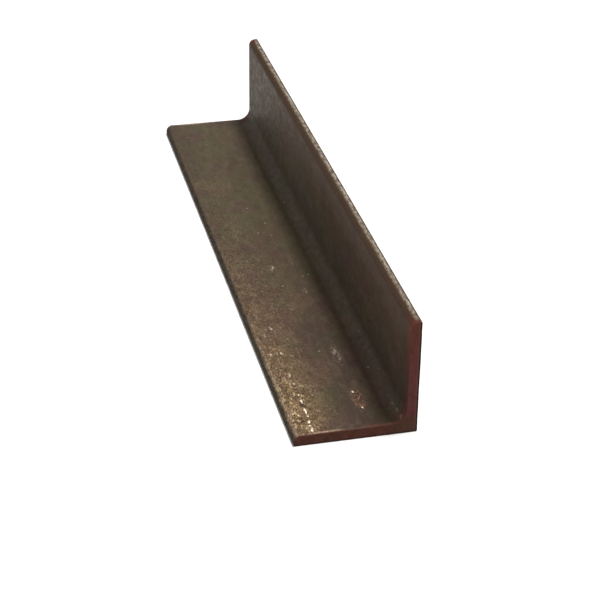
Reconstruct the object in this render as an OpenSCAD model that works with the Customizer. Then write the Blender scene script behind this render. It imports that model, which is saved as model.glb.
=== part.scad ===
// Equal-leg steel angle, hot rolled in one piece and cut square to length.
// The bar lies along Y. One leg is flat on the floor and the other stands up along +X.
// The origin is on the floor, under the middle of the bar's own bounding box.
// Sizes are in millimetres: 2 x 2 x 3/16 in section, 12 in long.

/* [Bar] */
// Length between the two cut ends
bar_length = 304.8; // [100:0.1:6000]

/* [Rolled section] */
// Width of each leg, from the heel corner to the toe
leg_w = 50.8; // [38:0.1:200]
// Thickness of both legs
leg_t = 4.76; // [3:0.01:12]
// Radius of the fillet in the root, between the legs' inner faces
root_r = 6.35; // [2:0.05:14]
// Radius of each toe's inner edge
toe_r = 3.2; // [0.5:0.05:8]
// Radius that rolling leaves on the three corners that are nominally square
corner_r = 0.6; // [0.1:0.05:0.75]

/* [Hidden] */
$fn = 96;
mill_scale = [0.33, 0.28, 0.23];
// A toe's radius as rolled, which a thin leg leaves less room for
toe_round = min(toe_r, leg_t - 2 * corner_r);
// How far a rounding tool reaches past the faces that it blends
overrun = leg_t / 4;

// The corner piece between two faces along +X and +Y and an arc that is tangent to both.
// Added in a root it is a fillet, and taken off a corner it leaves a rounding.
module spandrel(r) {
    difference() {
        translate([-overrun, -overrun]) square(r + overrun);
        translate([r, r]) circle(r);
    }
}

// One leg as a flat strip that runs from the heel corner along +X, with its toe rolled round
module leg_outline() {
    difference() {
        square([leg_w, leg_t]);
        translate([leg_w, leg_t]) rotate(180) spandrel(toe_round);
        translate([leg_w, 0]) rotate(90) spandrel(corner_r);
    }
}

// The whole rolled section, with its heel corner at the origin and its legs along +X and +Y
module section() {
    difference() {
        union() {
            leg_outline();
            mirror([1, -1]) leg_outline();
            translate([leg_t, leg_t]) spandrel(root_r);
        }
        spandrel(corner_r);
    }
}

// The bar as cut: the section turned so that its heel is at +X on the floor, drawn out along Y
module angle_bar() {
    color(mill_scale)
    translate([leg_w / 2, bar_length / 2, 0])
    rotate([90, 0, 0])
    linear_extrude(height = bar_length)
    mirror([1, 0]) section();
}

angle_bar();
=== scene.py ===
import math

import bpy
import numpy as np
from mathutils import Matrix, Vector
from mathutils.geometry import delaunay_2d_cdt


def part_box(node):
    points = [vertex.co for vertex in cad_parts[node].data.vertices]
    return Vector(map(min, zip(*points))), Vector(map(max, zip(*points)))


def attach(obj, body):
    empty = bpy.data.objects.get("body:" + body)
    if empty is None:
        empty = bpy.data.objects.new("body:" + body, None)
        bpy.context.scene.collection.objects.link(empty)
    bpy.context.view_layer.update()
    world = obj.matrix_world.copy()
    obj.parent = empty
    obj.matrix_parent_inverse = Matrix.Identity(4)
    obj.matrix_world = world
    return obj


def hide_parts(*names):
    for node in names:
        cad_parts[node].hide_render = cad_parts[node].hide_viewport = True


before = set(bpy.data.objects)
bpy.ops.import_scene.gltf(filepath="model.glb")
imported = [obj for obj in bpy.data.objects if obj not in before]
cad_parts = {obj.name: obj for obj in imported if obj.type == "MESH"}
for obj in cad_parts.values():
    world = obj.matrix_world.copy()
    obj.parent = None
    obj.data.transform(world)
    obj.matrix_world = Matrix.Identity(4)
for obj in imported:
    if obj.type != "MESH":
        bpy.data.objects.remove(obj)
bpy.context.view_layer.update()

MM = 0.001

# The rolled section, in metres. The CAD node's box gives the leg width and the length.
LOW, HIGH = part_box("angle_bar")
LEG = HIGH.z - LOW.z
LENGTH = HIGH.y - LOW.y
THICK = 4.76 * MM
ROOT_R = 6.35 * MM
TOE_R = 3.2 * MM
CORNER_R = 0.6 * MM
TOE_X = LOW.x
HEEL_X = HIGH.x
NEAR_Y = LOW.y
FAR_Y = HIGH.y
INNER_X = HEEL_X - THICK

# Mesh spacing across the section and along the bar
STEP_ACROSS = 0.9 * MM
STEP_ALONG = 0.86 * MM
ARC_STEP = math.radians(15)
# Width of the edge that the saw leaves round each cut end
END_BREAK = 0.15 * MM
# Mesh spacing on the two cut faces
CUT_STEP = 0.95 * MM


# The outline's stretches, in order. Each outline point carries the number of its stretch.
UNDER, HEEL, OUTER, CROWN, INNER, ROOT, BASE, TOE = range(8)


def section_outline():
    """The section's closed outline, anticlockwise in X and Z, as rows of x, z, outward normal x and z,
    the stretch that the point belongs to, and its distance round the outline. Also the distance at
    which each stretch begins, and the whole way round."""
    rows = []
    begins = {}
    walked = 0.0

    def line(stretch, start, end):
        nonlocal walked
        begins.setdefault(stretch, walked)
        start = np.array(start)
        run = np.array(end) - start
        length = np.hypot(*run)
        count = max(1, round(length / STEP_ACROSS))
        for k in range(count):
            point = start + run * k / count
            rows.append((*point, run[1] / length, -run[0] / length, stretch, walked + length * k / count))
        walked += length

    def arc(stretch, centre, radius, start, end):
        nonlocal walked
        begins.setdefault(stretch, walked)
        sweep = math.radians(end - start)
        length = abs(sweep) * radius
        count = max(4, round(abs(sweep) / ARC_STEP), round(length / STEP_ACROSS))
        side = 1 if sweep > 0 else -1
        for k in range(count):
            angle = math.radians(start) + sweep * k / count
            direction = np.array([math.cos(angle), math.sin(angle)])
            point = np.array(centre) + radius * direction
            rows.append((*point, *(side * direction), stretch, walked + length * k / count))
        walked += length

    line(UNDER, (TOE_X + CORNER_R, 0), (HEEL_X - CORNER_R, 0))
    arc(HEEL, (HEEL_X - CORNER_R, CORNER_R), CORNER_R, -90, 0)
    line(OUTER, (HEEL_X, CORNER_R), (HEEL_X, LEG - CORNER_R))
    arc(CROWN, (HEEL_X - CORNER_R, LEG - CORNER_R), CORNER_R, 0, 90)
    line(CROWN, (HEEL_X - CORNER_R, LEG), (INNER_X + TOE_R, LEG))
    arc(CROWN, (INNER_X + TOE_R, LEG - TOE_R), TOE_R, 90, 180)
    line(INNER, (INNER_X, LEG - TOE_R), (INNER_X, THICK + ROOT_R))
    arc(ROOT, (INNER_X - ROOT_R, THICK + ROOT_R), ROOT_R, 0, -90)
    line(BASE, (INNER_X - ROOT_R, THICK), (TOE_X + TOE_R, THICK))
    arc(TOE, (TOE_X + TOE_R, THICK - TOE_R), TOE_R, 90, 180)
    line(TOE, (TOE_X, THICK - TOE_R), (TOE_X, CORNER_R))
    arc(TOE, (TOE_X + CORNER_R, CORNER_R), CORNER_R, 180, 270)
    return np.array(rows), begins, walked


def lattice_noise(points, cell, seed):
    """Smooth noise from -1 to 1 with the given cell size along X, Y and Z"""
    place = points / np.array(cell)
    base = np.floor(place).astype(np.int64)
    part = place - base
    part = part * part * (3 - 2 * part)
    total = np.zeros(len(points))
    for corner in np.ndindex(2, 2, 2):
        cell_at = base + corner
        mixed = cell_at[:, 0] * 374761393 + cell_at[:, 1] * 668265263 + cell_at[:, 2] * 1442695041
        mixed = (mixed + seed * 1013904223) & 0xFFFFFFFF
        mixed = ((mixed ^ (mixed >> 13)) * 1274126177) & 0xFFFFFFFF
        value = ((mixed ^ (mixed >> 16)) & 0xFFFFFF) / 0xFFFFFF
        weight = np.ones(len(points))
        for axis in range(3):
            weight = weight * (part[:, axis] if corner[axis] else 1 - part[:, axis])
        total += weight * value
    return 2 * total - 1


def smooth_step(low, high, value):
    share = np.clip((value - low) / (high - low), 0, 1)
    return share * share * (3 - 2 * share)


def relief(points):
    """Depth below the true face, in metres: shallow waves, rolling marks and pits left by lost scale"""
    waves = lattice_noise(points, (9 * MM, 22 * MM, 9 * MM), 11)
    marks = lattice_noise(points, (2.2 * MM, 30 * MM, 2.2 * MM), 12)
    pits = lattice_noise(points, (2.4 * MM, 4.2 * MM, 2.4 * MM), 13)
    fine = lattice_noise(points, (1.5 * MM, 2.0 * MM, 1.5 * MM), 14)
    depth = 0.030 * (1 + waves) + 0.012 * (1 + marks) + 0.008 * (1 + fine)
    depth = depth + 0.07 * smooth_step(0.38, 0.85, pits)
    return depth * MM


# Bare flecks in lines along the base leg, where it was dragged over something: distance from the toe,
# start and end from the near end, in mm, and how bright the metal shows
RUBS = (
    (8.3, 1.8, 5.2, 0.8),
    (8.1, 5.2, 7.2, 0.8),
    (8.5, 7.4, 10.4, 0.95),
    (8.8, 12.2, 13.8, 0.85),
    (8.8, 14.3, 19.3, 0.9),
    (8.9, 22.4, 26, 0.8),
    (8.9, 27.6, 29.6, 0.75),
    (8.9, 36, 39, 0.28),
    (8.7, 43, 46, 0.35),
    (9.1, 60.5, 63.5, 0.5),
    (4.8, 61, 63, 0.5),
    (9, 81, 84.5, 0.3),
    (31.8, 13.5, 15.5, 0.75),
    (31.0, 25.7, 27.6, 0.7),
    (31.9, 57.5, 60, 0.12),
    (44.3, 0.5, 4, 0.2),
    (44.0, 5, 9, 0.12),
    (43.7, 11, 14.5, 0.08),
)
# Half the width of a bare fleck at its middle, in mm
FLECK_HALF = 0.55
# Pale spots on the base leg: distances from the toe and from the near end, half sizes, in mm, strength
SPOTS = (
    (21.5, 135.5, 1.3, 2.4, 0.9),
    (22, 100, 1.6, 3.5, 0.25),
    (31.6, 56, 1.7, 7.5, 0.45),
    (31.8, 112, 1.0, 2.5, 0.4),
    (31.4, 140, 1.0, 2.5, 0.2),
    (15, 31, 2.0, 5.0, 0.2),
)


def window(low, high, blur, value):
    """1 between low and high, fading to 0 over the blur at both ends"""
    return smooth_step(low - blur, low + blur, value) * (1 - smooth_step(high - blur, high + blur, value))


def surface_marks(points, stretch):
    """Soft masks, one value a point, that place the bar's wear and tones, and also its painted shade, light
    and sheen. The shader breaks them up into grain.
    """
    x, y, z = points.T
    along = (y - NEAR_Y) / MM
    across = (x - TOE_X) / MM
    from_end = np.minimum(along, LENGTH / MM - along)
    on_base = np.isin(stretch, (BASE, TOE)) & (z > THICK / 2)
    on_leg = on_base | (stretch == ROOT)
    on_outside = np.isin(stretch, (UNDER, HEEL, OUTER))

    # Sandy rust along the base leg's toe, thickest at the near end, where a painted sheen brightens it too
    drift = lattice_noise(points, (13 * MM, 26 * MM, 13 * MM), 41)
    sand_and_sheen = 1 - smooth_step(5, 19.5 + 0.07 * along + 4 * drift, across)
    sand_and_sheen = sand_and_sheen * np.exp(-(along / (102 + 22 * drift)) ** 1.3)
    sand_and_sheen = sand_and_sheen * (1 - 0.45 * (1 - smooth_step(4, 9, np.hypot(across, along))))
    thinner = np.where(on_outside, 0.3, 0.14) * (stretch != ROOT)
    sand_and_sheen = on_base * sand_and_sheen + thinner * smooth_step(0.3, 0.9, drift)

    # Fainter grit over the toe's half of the base leg, all along the bar, and on the faces behind
    grit = on_base * (1 - smooth_step(14, 30 + 6 * drift, across)) * (1 - 0.7 * smooth_step(120, 260, along))
    grit = grit + on_outside * (0.85 + 0.45 * drift)
    grit = np.maximum(sand_and_sheen, 0.5 * grit)

    # The nearest bare fleck at each point: how bright it is, how far to the side its middle is in mm,
    # and how far along it the point lies, 1 at its middle and 0 at its ends
    shine = np.zeros(len(points))
    aside = np.zeros(len(points))
    lengthwise = np.zeros(len(points))
    nearest = np.full(len(points), np.inf)
    for from_toe, start, end, strength in RUBS:
        half = (end - start) / 2
        ahead = np.abs(along - (start + end) / 2)
        gap = np.hypot(across - from_toe, np.maximum(ahead - half, 0) / 2)
        closer = gap < nearest
        shine = np.where(closer, strength * on_leg, shine)
        aside = np.where(closer, across - from_toe, aside)
        lengthwise = np.where(closer, 1 - (ahead / half) ** 2, lengthwise)
        nearest = np.minimum(nearest, gap)
    lengthwise = np.maximum(lengthwise, -1)

    pale = np.zeros(len(points))
    for from_toe, middle, half_across, half_along, strength in SPOTS:
        reach = np.hypot((across - from_toe) / half_across, (along - middle) / half_along)
        pale = np.maximum(pale, on_base * strength * (1 - smooth_step(0.4, 1.4, reach)))

    # Rust where scale has come away
    patch = np.hypot((across - 31.8) / 2.7, (along - 20.5) / 8.5)
    bloom = lattice_noise(points, (8 * MM, 14 * MM, 8 * MM), 42)
    bloom = 0.5 * smooth_step(0.5 - 0.1 * on_outside, 0.95, bloom)
    rust = np.maximum(on_base * (1 - smooth_step(0.5, 1.3, patch)), bloom)

    # The far part of the bar is more olive, a strip near the root is darker, and the upright is redder
    # next to the cut ends
    olive = smooth_step(40, 210, along + 40 * drift)
    dusk = on_base * window(24 + 3 * drift, 36, 4, across) * (1 - 0.7 * smooth_step(70, 150, along))
    dusk = dusk + 0.45 * on_base * (1 - smooth_step(4.5, 7, across)) * smooth_step(75, 115, along)
    dusk = dusk + 0.45 * on_base * window(5.5, 9, 1.5, across) * smooth_step(150, 210, along)
    dusk = dusk + 0.65 * on_base * smooth_step(20, 27, across) * (1 - smooth_step(2, 10, from_end))
    in_rounding = (stretch == CROWN) & (x < INNER_X + TOE_R)
    faces_in = np.isin(stretch, (INNER, ROOT)) | in_rounding
    on_inside = faces_in * (1 - smooth_step(LEG - TOE_R, LEG - 0.35 * TOE_R, z))
    high = smooth_step(12, 44, z / MM)
    red = np.where(stretch == CROWN, 0.3 + 0.5 * in_rounding, faces_in)
    red = red * (1 - smooth_step(2, 9 + 3 * drift, from_end)) * (0.1 + 0.9 * smooth_step(16, 46, z / MM))
    red = red + 0.55 * on_base * window(31, 42, 3, across) * (1 - smooth_step(1.2, 3.2, from_end))
    red = red + 0.5 * (stretch == ROOT) * (1 - smooth_step(2, 11, from_end))

    # Painted shade makes the upright's inside darker than the base leg, from a little above the root and less
    # so near its top and far along the bar; the inside is also browner towards its top, and painted light
    # makes the root's fillet a little lighter
    inside = on_inside * smooth_step(5, 12.5, z / MM) * (1 - 0.35 * smooth_step(32, 50, z / MM))
    inside = inside * (1 - 0.5 * smooth_step(120, 250, along))
    brown = on_inside * high
    fillet = on_leg * window(37.5, 43, 2.2, across)
    # Painted shade on the upright's inside next to the cut ends
    end_painted_shade = 0.5 * (1 - smooth_step(2, 13, from_end)) + 0.2 * (1 - smooth_step(0.3, 1.6, from_end))
    end_painted_shade = end_painted_shade * on_inside * smooth_step(8, 12.5, z / MM)

    # Burr that the saw left on the top edge of the base leg's cut
    burr = on_base * (0.08 + 0.92 * window(7.5, 19.5, 2, across))
    burr = np.maximum(burr, 0.25 * (stretch == CROWN))
    return {
        "sand_and_sheen": sand_and_sheen,
        "grit": grit,
        "shine": shine,
        "aside": aside,
        "lengthwise": lengthwise,
        "pale": pale,
        "rust": rust,
        "olive": olive,
        "dusk": dusk,
        "inside": inside,
        "brown": brown,
        "fillet": fillet,
        "outside": on_outside * 1.0,
        "red": red,
        "end_painted_shade": end_painted_shade,
        "burr": burr,
    }


def in_section(x, z, margin):
    """Whether a point of the cut face lies more than margin inside the section"""
    if not (TOE_X + margin < x < HEEL_X - margin and margin < z < LEG - margin):
        return False
    if x < INNER_X + margin and z > THICK - margin:
        root_x = INNER_X - ROOT_R
        root_z = THICK + ROOT_R
        in_root = x > root_x and z < root_z
        return in_root and math.hypot(x - root_x, z - root_z) > ROOT_R + margin
    for round_x, round_z in ((TOE_X + TOE_R, THICK - TOE_R), (INNER_X + TOE_R, LEG - TOE_R)):
        in_corner = x < round_x and z > round_z
        if in_corner and math.hypot(x - round_x, z - round_z) > TOE_R - margin:
            return False
    return True


def build_bar():
    outline, begins, girth = section_outline()
    count = len(outline)
    flat = outline[:, :2]
    normal = outline[:, 2:4]
    across = outline[:, 5]

    inner_rings = round((LENGTH - 2 * END_BREAK) / STEP_ALONG)
    middle = np.linspace(NEAR_Y + END_BREAK, FAR_Y - END_BREAK, inner_rings + 1)
    # Each ring's place along the bar and how far the end's rounding draws it in
    lead = [(0.0, END_BREAK), (0.29 * END_BREAK, 0.29 * END_BREAK)]
    rings = [(NEAR_Y + d, inset) for d, inset in lead]
    rings += [(y, 0.0) for y in middle]
    rings += [(FAR_Y - d, inset) for d, inset in reversed(lead)]

    blocks = []
    for y, inset in rings:
        at = flat - normal * inset
        blocks.append(np.column_stack([at[:, 0], np.full(count, y), at[:, 1]]))
    points = np.concatenate(blocks)
    out = np.tile(np.column_stack([normal[:, 0], np.zeros(count), normal[:, 1]]), (len(rings), 1))
    stretch = np.tile(outline[:, 4], len(rings)).astype(int)
    marks = surface_marks(points, stretch)
    depth = relief(points)
    # The saw's edge is uneven
    bite = lattice_noise(points, (3.1 * MM, 50 * MM, 3.1 * MM), 21)
    from_end = np.minimum(points[:, 1] - NEAR_Y, FAR_Y - points[:, 1])
    depth = depth + 0.04 * MM * (1 + bite) * (1 - smooth_step(0, 1.3 * MM, from_end))
    points = points - out * depth[:, None]
    # The cut's colour takes in the broken edge, which is the two outermost rings at each end
    broken = len(lead) * count
    marks["cut"] = np.zeros(len(points))
    marks["cut"][:broken] = 1
    marks["cut"][-broken:] = 1

    faces = []
    sheet = []
    for ring in range(len(rings) - 1):
        start = ring * count
        here = rings[ring][0]
        there = rings[ring + 1][0]
        for k in range(count):
            after = (k + 1) % count
            faces.append((start + k, start + after, start + count + after, start + count + k))
            reach = across[after] if after else girth
            sheet += [(across[k], here, 0), (reach, here, 0), (reach, there, 0), (across[k], there, 0)]

    # The two cut faces share the rim's points and are filled with a grid of their own
    inside = []
    for x in np.arange(TOE_X, HEEL_X, CUT_STEP) + 0.37 * CUT_STEP:
        for z in np.arange(0, LEG, CUT_STEP) + 0.37 * CUT_STEP:
            if in_section(x, z, 0.55 * CUT_STEP):
                inside.append((x, z))
    inside = np.array(inside)
    rim_loop = [list(range(count))]
    for y, first, sign in ((NEAR_Y, 0, 1), (FAR_Y, (len(rings) - 1) * count, -1)):
        rim_points = points[first:first + count][:, [0, 2]]
        plane = [Vector(p) for p in rim_points] + [Vector(p) for p in inside]
        filled = delaunay_2d_cdt(plane, [], rim_loop, 1, 1e-7)
        total = len(points)
        ids = [olds[0] for olds in filled[3]]
        ids = [first + k if k < count else total + k - count for k in ids]
        cap = np.column_stack([inside[:, 0], np.full(len(inside), y), inside[:, 1]])
        saw = lattice_noise(cap, (14 * MM, 9 * MM, 1.6 * MM), 31)
        dish = lattice_noise(cap, (7 * MM, 9 * MM, 7 * MM), 32)
        cap[:, 1] += sign * 0.02 * MM * (2 + saw + dish)
        points = np.concatenate([points, cap])
        for face in filled[2]:
            corners = [ids[v] for v in face]
            if sign < 0:
                corners.reverse()
            faces.append(tuple(corners))
            sheet += [(points[v][0], y, points[v][2]) for v in corners]

    mesh = bpy.data.meshes.new("steel_angle_bar")
    mesh.from_pydata([tuple(p) for p in points], [], faces)
    caps = points[len(marks["cut"]):]
    for name, values in marks.items():
        values = np.concatenate([values, np.full(len(caps), 1.0 if name == "cut" else 0.0)])
        layer = mesh.attributes.new(name, "FLOAT", "POINT")
        layer.data.foreach_set("value", values.astype(np.float32))
    layer = mesh.attributes.new("sheet", "FLOAT_VECTOR", "CORNER")
    layer.data.foreach_set("vector", np.array(sheet, np.float32).ravel())
    mesh.update()
    mesh.shade_smooth()
    mesh.set_sharp_from_angle(angle=math.radians(38))
    bar = bpy.data.objects.new("steel_angle_bar", mesh)
    bpy.context.scene.collection.objects.link(bar)
    return bar, begins


bar, begins = build_bar()


class Nodes:
    """Short calls that add shader nodes to one material and link them"""

    def __init__(self, name):
        self.material = bpy.data.materials.new(name)
        self.material.use_nodes = True
        self.tree = self.material.node_tree
        self.tree.nodes.clear()

    def add(self, kind, inputs=None, **settings):
        node = self.tree.nodes.new(kind)
        for key, value in settings.items():
            setattr(node, key, value)
        for key, value in (inputs or {}).items():
            self.feed(node.inputs[key], value)
        return node

    def feed(self, socket, value):
        if isinstance(value, bpy.types.NodeSocket):
            self.tree.links.new(value, socket)
        else:
            socket.default_value = value

    def attribute(self, name):
        return self.add("ShaderNodeAttribute", attribute_name=name).outputs["Fac"]

    def math(self, operation, *values):
        node = self.add("ShaderNodeMath", operation=operation)
        for socket, value in zip(node.inputs, values):
            self.feed(socket, value)
        return node.outputs[0]

    def stretch(self, vector, scale, shift=(0, 0, 0)):
        node = self.add("ShaderNodeMapping", {"Vector": vector, "Location": shift, "Scale": scale})
        return node.outputs[0]

    def needles(self, vector, turn, shift):
        """Coordinates in which round cells lie as long thin marks, turned a little from the bar's length"""
        node = self.add(
            "ShaderNodeMapping",
            {"Vector": vector, "Location": shift, "Rotation": (0, 0, turn), "Scale": (1, 36, 1)},
            vector_type="TEXTURE",
        )
        return node.outputs[0]

    def noise(self, vector, scale, detail=3.0, rough=0.55):
        node = self.add(
            "ShaderNodeTexNoise",
            {"Vector": vector, "Scale": scale, "Detail": detail, "Roughness": rough},
        )
        return node.outputs["Fac"]

    def cells(self, vector, scale):
        """The distance to the middle of the nearest of many random cells, and that cell's own number"""
        node = self.add("ShaderNodeTexVoronoi", {"Vector": vector, "Scale": scale})
        number = self.add("ShaderNodeSeparateXYZ", {"Vector": node.outputs["Color"]})
        return node.outputs["Distance"], number.outputs["X"]

    def band(self, value, low, high, blur):
        rise = self.span(value, low - blur, low + blur)
        fall = self.span(value, high - blur, high + blur, 1, 0)
        return self.math("MULTIPLY", rise, fall)

    def times(self, *values):
        product = values[0]
        for value in values[1:]:
            product = self.math("MULTIPLY", product, value)
        return product

    def span(self, value, low, high, to_low=0.0, to_high=1.0):
        node = self.add(
            "ShaderNodeMapRange",
            {"Value": value, "From Min": low, "From Max": high, "To Min": to_low, "To Max": to_high},
            interpolation_type="SMOOTHSTEP",
        )
        return node.outputs["Result"]

    def mix(self, share, first, second, blend="MIX"):
        node = self.add("ShaderNodeMix", data_type="RGBA", blend_type=blend)
        self.feed(node.inputs[0], share)
        self.feed(node.inputs[6], first)
        self.feed(node.inputs[7], second)
        return node.outputs[2]


def colour(red, green, blue):
    return (red, green, blue, 1)


def mill_scale_material():
    n = Nodes("mill_scale_steel")
    at = n.add("ShaderNodeTexCoord").outputs["Object"]
    sheet = n.add("ShaderNodeAttribute", attribute_name="sheet").outputs["Vector"]
    across = n.add("ShaderNodeSeparateXYZ", {"Vector": sheet}).outputs["X"]
    mark = {}
    for layer in bar.data.attributes:
        if layer.domain == "POINT" and layer.data_type == "FLOAT":
            mark[layer.name] = n.attribute(layer.name)

    patches = n.noise(at, 60, 3.0, 0.6)
    tint = n.noise(n.stretch(at, (1, 0.6, 1), (3, 1, 2)), 95, 3.0, 0.5)
    blots = n.noise(n.stretch(at, (1, 0.5, 1), (7, 5, 3)), 260, 4.0, 0.6)
    streaks = n.noise(n.stretch(sheet, (1, 0.04, 1), (1, 4, 7)), 900, 3.0, 0.6)
    grain = n.noise(n.stretch(at, (1, 0.7, 1)), 1250, 3.0, 0.65)
    coarse = n.noise(n.stretch(at, (1, 0.6, 1), (4, 8, 1)), 420, 3.0, 0.6)

    # Broad, faint patches of purple, brown and olive, then streaks from rolling, then grain
    body = n.mix(n.span(tint, 0.4, 0.6), colour(0.069, 0.037, 0.033), colour(0.061, 0.051, 0.025))
    body = n.mix(n.span(patches, 0.4, 0.62), body, colour(0.075, 0.047, 0.029))
    far_tint = n.times(mark["olive"], n.span(tint, 0.35, 0.6, 0.25, 0.85))
    body = n.mix(far_tint, body, colour(0.067, 0.057, 0.03))
    body = n.mix(n.times(mark["outside"], 0.6), body, colour(0.064, 0.045, 0.03))
    body = n.mix(n.times(mark["dusk"], 0.7), body, colour(0.042, 0.026, 0.021))
    body = n.mix(n.times(mark["brown"], 0.72), body, colour(0.073, 0.0375, 0.021))
    body = n.mix(n.span(blots, 0.5, 0.68, 0, 0.42), body, colour(0.098, 0.073, 0.047))
    body = n.mix(n.span(blots, 0.32, 0.47, 0.42, 0), body, colour(0.038, 0.026, 0.019))
    # Ragged little pits, in loose groups
    pit_middle, pit_number = n.cells(n.stretch(at, (1, 0.5, 1), (6, 1, 3)), 430)
    ragged = n.math("ADD", pit_middle, n.span(grain, 0.3, 0.7, 0.16, -0.12))
    pits = n.times(n.span(pit_number, 0.55, 1), n.span(ragged, 0.1, 0.36, 1, 0), n.span(coarse, 0.42, 0.58))
    body = n.mix(n.times(pits, 0.75), body, colour(0.02, 0.015, 0.011))
    clear = n.span(n.math("SUBTRACT", mark["inside"], mark["outside"]), -1, 0.9, 1.8, 0.45)
    body = n.mix(n.times(clear, n.span(streaks, 0.48, 0.74, 0, 0.25)), body, colour(0.095, 0.07, 0.047))
    body = n.mix(n.times(clear, n.span(streaks, 0.28, 0.46, 0.25, 0)), body, colour(0.038, 0.028, 0.02))
    body = n.mix(n.span(grain, 0.53, 0.72, 0, 0.35), body, colour(0.105, 0.08, 0.052))
    body = n.mix(n.span(grain, 0.3, 0.46, 0.4, 0), body, colour(0.032, 0.023, 0.016))

    # A few light specks
    speck_middle, speck_number = n.cells(n.stretch(at, (1, 0.7, 1), (8, 3, 5)), 360)
    specks = n.times(n.span(speck_number, 0.88, 0.97), n.span(speck_middle, 0.08, 0.22, 0.5, 0))
    body = n.mix(specks, body, colour(0.34, 0.28, 0.21))

    # Fine scratches from handling, nearly along the bar and mostly on the faces behind
    for turn, share in ((0.05, 0.62), (-0.11, 0.74)):
        needle_middle, needle_number = n.cells(n.needles(sheet, turn, (share, 2 * share, 0)), 330)
        chosen = n.span(needle_number, share, share + 0.2)
        scratch = n.times(chosen, n.span(needle_middle, 0.03, 0.11, 1, 0), n.span(coarse, 0.36, 0.54))
        scratch = n.times(scratch, n.span(mark["outside"], 0, 1, 0.15, 0.8))
        body = n.mix(scratch, body, colour(0.27, 0.23, 0.18))

    # Sandy rust and painted sheen: a golden ground with light and dark grit on it, drawn out a little along
    # the bar; where the sheen is painted, the light grit is partly painted glints
    sand_and_sheen = mark["sand_and_sheen"]
    grit = mark["grit"]
    middle, number = n.cells(n.stretch(at, (1, 0.5, 1)), 1100)
    small_middle, small_number = n.cells(n.stretch(at, (1, 0.6, 1), (2, 3, 4)), 1900)
    clumps = n.span(coarse, 0.38, 0.6, 0.3, 1)
    light = n.times(n.span(number, 0.55, 0.95), n.span(middle, 0.25, 0.6, 1, 0))
    small_light = n.times(n.span(small_number, 0.5, 0.95, 0, 0.8), n.span(small_middle, 0.3, 0.65, 1, 0))
    light = n.times(n.math("MAXIMUM", light, small_light), clumps)
    dark = n.times(n.span(number, 0.1, 0.4, 1, 0), n.span(middle, 0.3, 0.65, 1, 0))
    small_dark = n.times(n.span(small_number, 0.1, 0.45, 0.85, 0), n.span(small_middle, 0.35, 0.7, 1, 0))
    dark = n.math("MAXIMUM", dark, small_dark)
    ground = n.mix(n.span(blots, 0.4, 0.6), colour(0.142, 0.086, 0.041), colour(0.22, 0.14, 0.07))
    body = n.mix(n.times(sand_and_sheen, 0.85), body, ground)
    body = n.mix(n.times(grit, dark), body, colour(0.022, 0.013, 0.008))
    body = n.mix(n.times(grit, light), body, n.mix(sand_and_sheen, colour(0.17, 0.135, 0.095), colour(0.7, 0.53, 0.32)))

    # Rust where scale is gone, and pale rubbed spots
    rust = n.mix(n.span(small_number, 0.3, 0.9), colour(0.055, 0.027, 0.018), colour(0.21, 0.112, 0.075))
    body = n.mix(n.times(mark["rust"], n.span(coarse, 0.36, 0.6, 0.35, 0.95)), body, rust)
    crumbs = n.times(n.span(small_number, 0.35, 0.8), n.span(grain, 0.4, 0.56))
    body = n.mix(n.times(mark["pale"], crumbs), body, colour(0.5, 0.4, 0.32))

    # Flecks rubbed bare: narrow, pointed at both ends, with ragged sides and a dark fringe
    off = n.math("DIVIDE", n.math("ADD", mark["aside"], n.span(coarse, 0.35, 0.65, -0.3, 0.3)), FLECK_HALF)
    shape = n.math("SUBTRACT", mark["lengthwise"], n.math("MULTIPLY", off, off))
    shape = n.math("ADD", shape, n.span(grain, 0.35, 0.65, -0.5, 0.3))
    fringe = n.times(n.span(shape, -4.0, -0.6), mark["shine"], n.span(small_number, 0.3, 0.7, 0.8, 0))
    body = n.mix(fringe, body, colour(0.035, 0.022, 0.013))
    body = n.mix(n.times(n.span(shape, 0.0, 0.5), mark["shine"]), body, colour(0.92, 0.78, 0.58))

    # The upright's top: painted shade on the rounding and on the outer corner, and between them a light strip
    # on the flat, which is rubbed wear with a painted highlight
    top = begins[CROWN]
    crown_shade = n.times(n.span(across, top - 0.8 * MM, top), n.span(across, top + 4.6 * MM, top + 9 * MM, 1, 0))
    body = n.mix(n.times(crown_shade, n.span(grain, 0.36, 0.6, 1, 0.7)), body, colour(0.048, 0.025, 0.0145))
    chips = n.noise(n.stretch(sheet, (1, 0.3, 1), (2, 9, 5)), 800, 3.0, 0.65)
    flakes = n.noise(n.stretch(sheet, (1, 0.4, 1), (5, 2, 9)), 850, 3.0, 0.65)
    strip = n.span(across, top + 0.8 * MM, top + 1.5 * MM)
    strip = n.times(strip, n.span(across, top + 1.9 * MM, top + 3.5 * MM, 1, 0))
    flat = n.mix(n.span(flakes, 0.38, 0.62), colour(0.115, 0.088, 0.06), colour(0.345, 0.298, 0.243))
    body = n.mix(n.times(strip, n.span(chips, 0.34, 0.56, 0.6, 1)), body, flat)

    # The base leg's toe: painted shade on its side, and a light line along the rounding that is a painted
    # highlight
    toe = begins[TOE]
    far = n.span(mark["olive"], 0.0, 0.5)
    reach = n.math("ADD", across, n.times(far, 0.4 * MM))
    side = n.span(reach, toe + 2.2 * MM, toe + 3.2 * MM)
    painted_toe_shade = n.mix(n.span(chips, 0.4, 0.62), colour(0.018, 0.013, 0.008), colour(0.055, 0.043, 0.03))
    body = n.mix(n.times(side, 0.9), body, painted_toe_shade)
    line = n.times(n.band(reach, toe + 1.1 * MM, toe + 2.0 * MM, 0.4 * MM), n.span(far, 0, 1, 1, 0.1))
    body = n.mix(n.times(line, n.span(chips, 0.42, 0.6, 0, 0.6)), body, colour(0.3, 0.24, 0.19))
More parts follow.
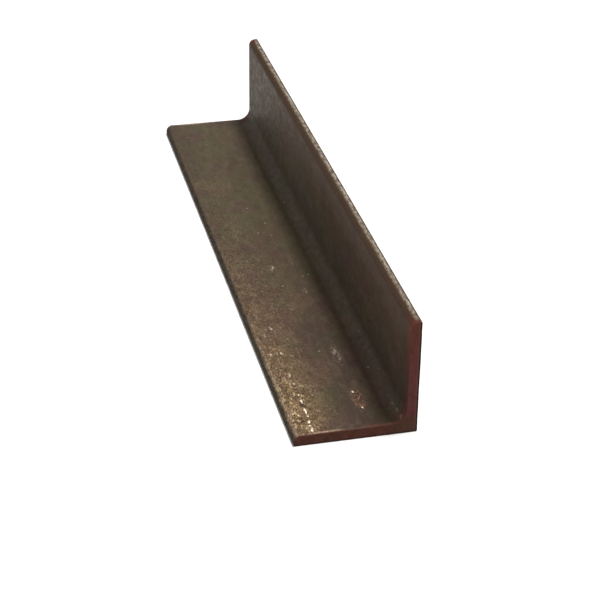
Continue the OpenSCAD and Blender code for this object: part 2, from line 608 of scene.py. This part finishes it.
    # Painted shade darkens the upright's inside, and painted light lifts the root's fillet
    body = n.mix(mark["inside"], body, colour(0.73, 0.75, 0.74), "MULTIPLY")
    body = n.mix(mark["fillet"], body, colour(1.24, 1.21, 1.18), "MULTIPLY")
    # Painted shade on the upright's inside next to the cut ends
    body = n.mix(n.times(mark["end_painted_shade"], 0.75), body, colour(0.02, 0.012, 0.008))
    body = n.mix(n.times(mark["red"], 0.9), body, colour(0.084, 0.022, 0.0125))

    # Next to the cuts the base leg's edge and the upright's top are rusty, and the saw left a light burr
    place = n.add("ShaderNodeSeparateXYZ", {"Vector": at}).outputs
    behind = n.math("SUBTRACT", LENGTH / 2, n.math("ABSOLUTE", place["Y"]))
    burr_line = n.times(n.band(behind, 0.65 * MM, 1.5 * MM, 0.25 * MM), n.span(grain, 0.38, 0.56, 0.3, 1))
    body = n.mix(n.times(burr_line, mark["burr"]), body, colour(0.36, 0.24, 0.185))
    rusty = n.math("SUBTRACT", n.span(place["Z"], 26 * MM, 45 * MM, 0.45 * MM, 1.9 * MM), behind)
    body = n.mix(n.span(rusty, -0.2 * MM, 0.2 * MM, 0, 0.9), body, colour(0.084, 0.023, 0.014))

    # The cut faces: thin red rust, redder high on the upright, brown at the heel, with dark outer edges
    low = n.span(place["Z"], 0.8 * THICK, 2.2 * THICK, 1, 0)
    high = n.span(place["Z"], 0.55 * LEG, 0.9 * LEG)
    heel = n.times(low, n.span(place["X"], HEEL_X - 3.2 * THICK, HEEL_X - 1.2 * THICK))
    cut = n.mix(n.span(patches, 0.35, 0.65), colour(0.077, 0.025, 0.019), colour(0.084, 0.0225, 0.0245))
    cut = n.mix(n.times(high, 0.7), cut, colour(0.084, 0.026, 0.0165))
    cut = n.mix(n.times(low, 0.85), cut, colour(0.0525, 0.0195, 0.0115))
    cut = n.mix(n.times(heel, n.span(tint, 0.35, 0.6, 0.9, 0.5)), cut, colour(0.045, 0.03, 0.016))
    cut = n.mix(n.span(coarse, 0.35, 0.7, 0, 0.35), cut, colour(0.105, 0.04, 0.03))
    cut = n.mix(n.span(blots, 0.32, 0.46, 0.4, 0), cut, colour(0.03, 0.013, 0.01))
    # The cut's outer edges: a dark line, with a lighter one beside it at the heel's face
    beside = n.band(place["X"], HEEL_X - 1.5 * MM, HEEL_X - 0.9 * MM, 0.25 * MM)
    cut = n.mix(n.times(beside, 0.3), cut, colour(0.13, 0.06, 0.05))
    edge = n.span(place["X"], HEEL_X - 1.0 * MM, HEEL_X - 0.5 * MM)
    edge = n.math("MAXIMUM", edge, n.span(place["Z"], 0.3 * MM, 1.0 * MM, 0.7, 0))
    cut = n.mix(n.times(edge, 0.95), cut, colour(0.01, 0.007, 0.006))
    body = n.mix(mark["cut"], body, cut)

    height = n.math("ADD", grain, n.times(sand_and_sheen, number))
    bump = n.add("ShaderNodeBump", {"Strength": 0.45, "Distance": 0.15 * MM, "Height": height})
    dull = n.math("MAXIMUM", n.math("MAXIMUM", side, mark["cut"]), n.math("MAXIMUM", mark["inside"], crown_shade))
    rough = n.math("MAXIMUM", n.span(coarse, 0.3, 0.7, 0.5, 0.7), n.times(dull, 0.95))
    skin = n.add(
        "ShaderNodeBsdfPrincipled",
        {"Base Color": body, "Roughness": rough, "Normal": bump.outputs[0], "Specular IOR Level": 0.16},
    )
    n.add("ShaderNodeOutputMaterial", {"Surface": skin.outputs[0]})
    return n.material


bar.data.materials.append(mill_scale_material())
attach(bar, "root")
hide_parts("angle_bar")


def plain_floor():
    half = 3.0
    mesh = bpy.data.meshes.new("floor")
    mesh.from_pydata(
        [(-half, -half, 0), (half, -half, 0), (half, half, 0), (-half, half, 0)], [], [(0, 1, 2, 3)]
    )
    floor = bpy.data.objects.new("floor", mesh)
    bpy.context.scene.collection.objects.link(floor)
    n = Nodes("pale_floor")
    paint = n.add("ShaderNodeBsdfPrincipled", {"Base Color": (0.9, 0.9, 0.9, 1), "Roughness": 0.8})
    n.add("ShaderNodeOutputMaterial", {"Surface": paint.outputs[0]})
    floor.data.materials.append(n.material)
    return floor


plain_floor()


def studio_light():
    """One wide soft light from high on the right, and a sky that is brightest at the horizon"""
    data = bpy.data.lights.new("key", "SUN")
    data.energy = KEY_STRENGTH
    data.angle = KEY_WIDTH
    data.color = (1.0, 0.98, 0.95)
    key = bpy.data.objects.new("key", data)
    key.rotation_euler = KEY_FROM.to_track_quat("Z", "Y").to_euler()
    bpy.context.scene.collection.objects.link(key)

    world = bpy.data.worlds.new("studio")
    world.use_nodes = True
    tree = world.node_tree
    place = tree.nodes.new("ShaderNodeTexCoord")
    height = tree.nodes.new("ShaderNodeSeparateXYZ")
    fade = tree.nodes.new("ShaderNodeMapRange")
    fade.interpolation_type = "SMOOTHSTEP"
    for name, value in (("From Min", 0.06), ("From Max", 0.32), ("To Min", 1.05), ("To Max", SKY_STRENGTH)):
        fade.inputs[name].default_value = value
    tree.links.new(place.outputs["Generated"], height.inputs[0])
    tree.links.new(height.outputs["Z"], fade.inputs["Value"])
    tree.links.new(fade.outputs[0], tree.nodes["Background"].inputs["Strength"])
    tree.nodes["Background"].inputs["Color"].default_value = (1.0, 0.99, 0.98, 1)
    bpy.context.scene.world = world


# The key's direction sets where the upright's shadow ends on the base leg
KEY_FROM = Vector((0.244, -0.02, 1.0))
KEY_WIDTH = math.radians(11)
KEY_STRENGTH = 3.3
SKY_STRENGTH = 0.4
studio_light()

# The camera stands as the photograph's did, found from the bar's edges
CAMERA_AT = Vector((TOE_X - 2.529 * LEG, NEAR_Y - 10.537 * LEG, 7.546 * LEG))
YAW = math.radians(13.688)
PITCH = math.radians(29.902)
ROLL = math.radians(0.74)
LENS = 36 * 1697.8 / 600


def photo_camera():
    forward = Vector((math.sin(YAW) * math.cos(PITCH), math.cos(YAW) * math.cos(PITCH), -math.sin(PITCH)))
    level = Vector((math.cos(YAW), -math.sin(YAW), 0))
    above = level.cross(forward)
    right = math.cos(ROLL) * level + math.sin(ROLL) * above
    up = math.cos(ROLL) * above - math.sin(ROLL) * level
    turn = Matrix((right, up, -forward)).transposed()
    data = bpy.data.cameras.new("camera")
    data.lens = LENS
    data.sensor_width = 36
    data.clip_start = 0.01
    data.clip_end = 20
    camera = bpy.data.objects.new("camera", data)
    camera.matrix_world = Matrix.Translation(CAMERA_AT) @ turn.to_4x4()
    bpy.context.scene.collection.objects.link(camera)
    bpy.context.scene.camera = camera


photo_camera()
bpy.context.scene.view_settings.view_transform = "Standard"
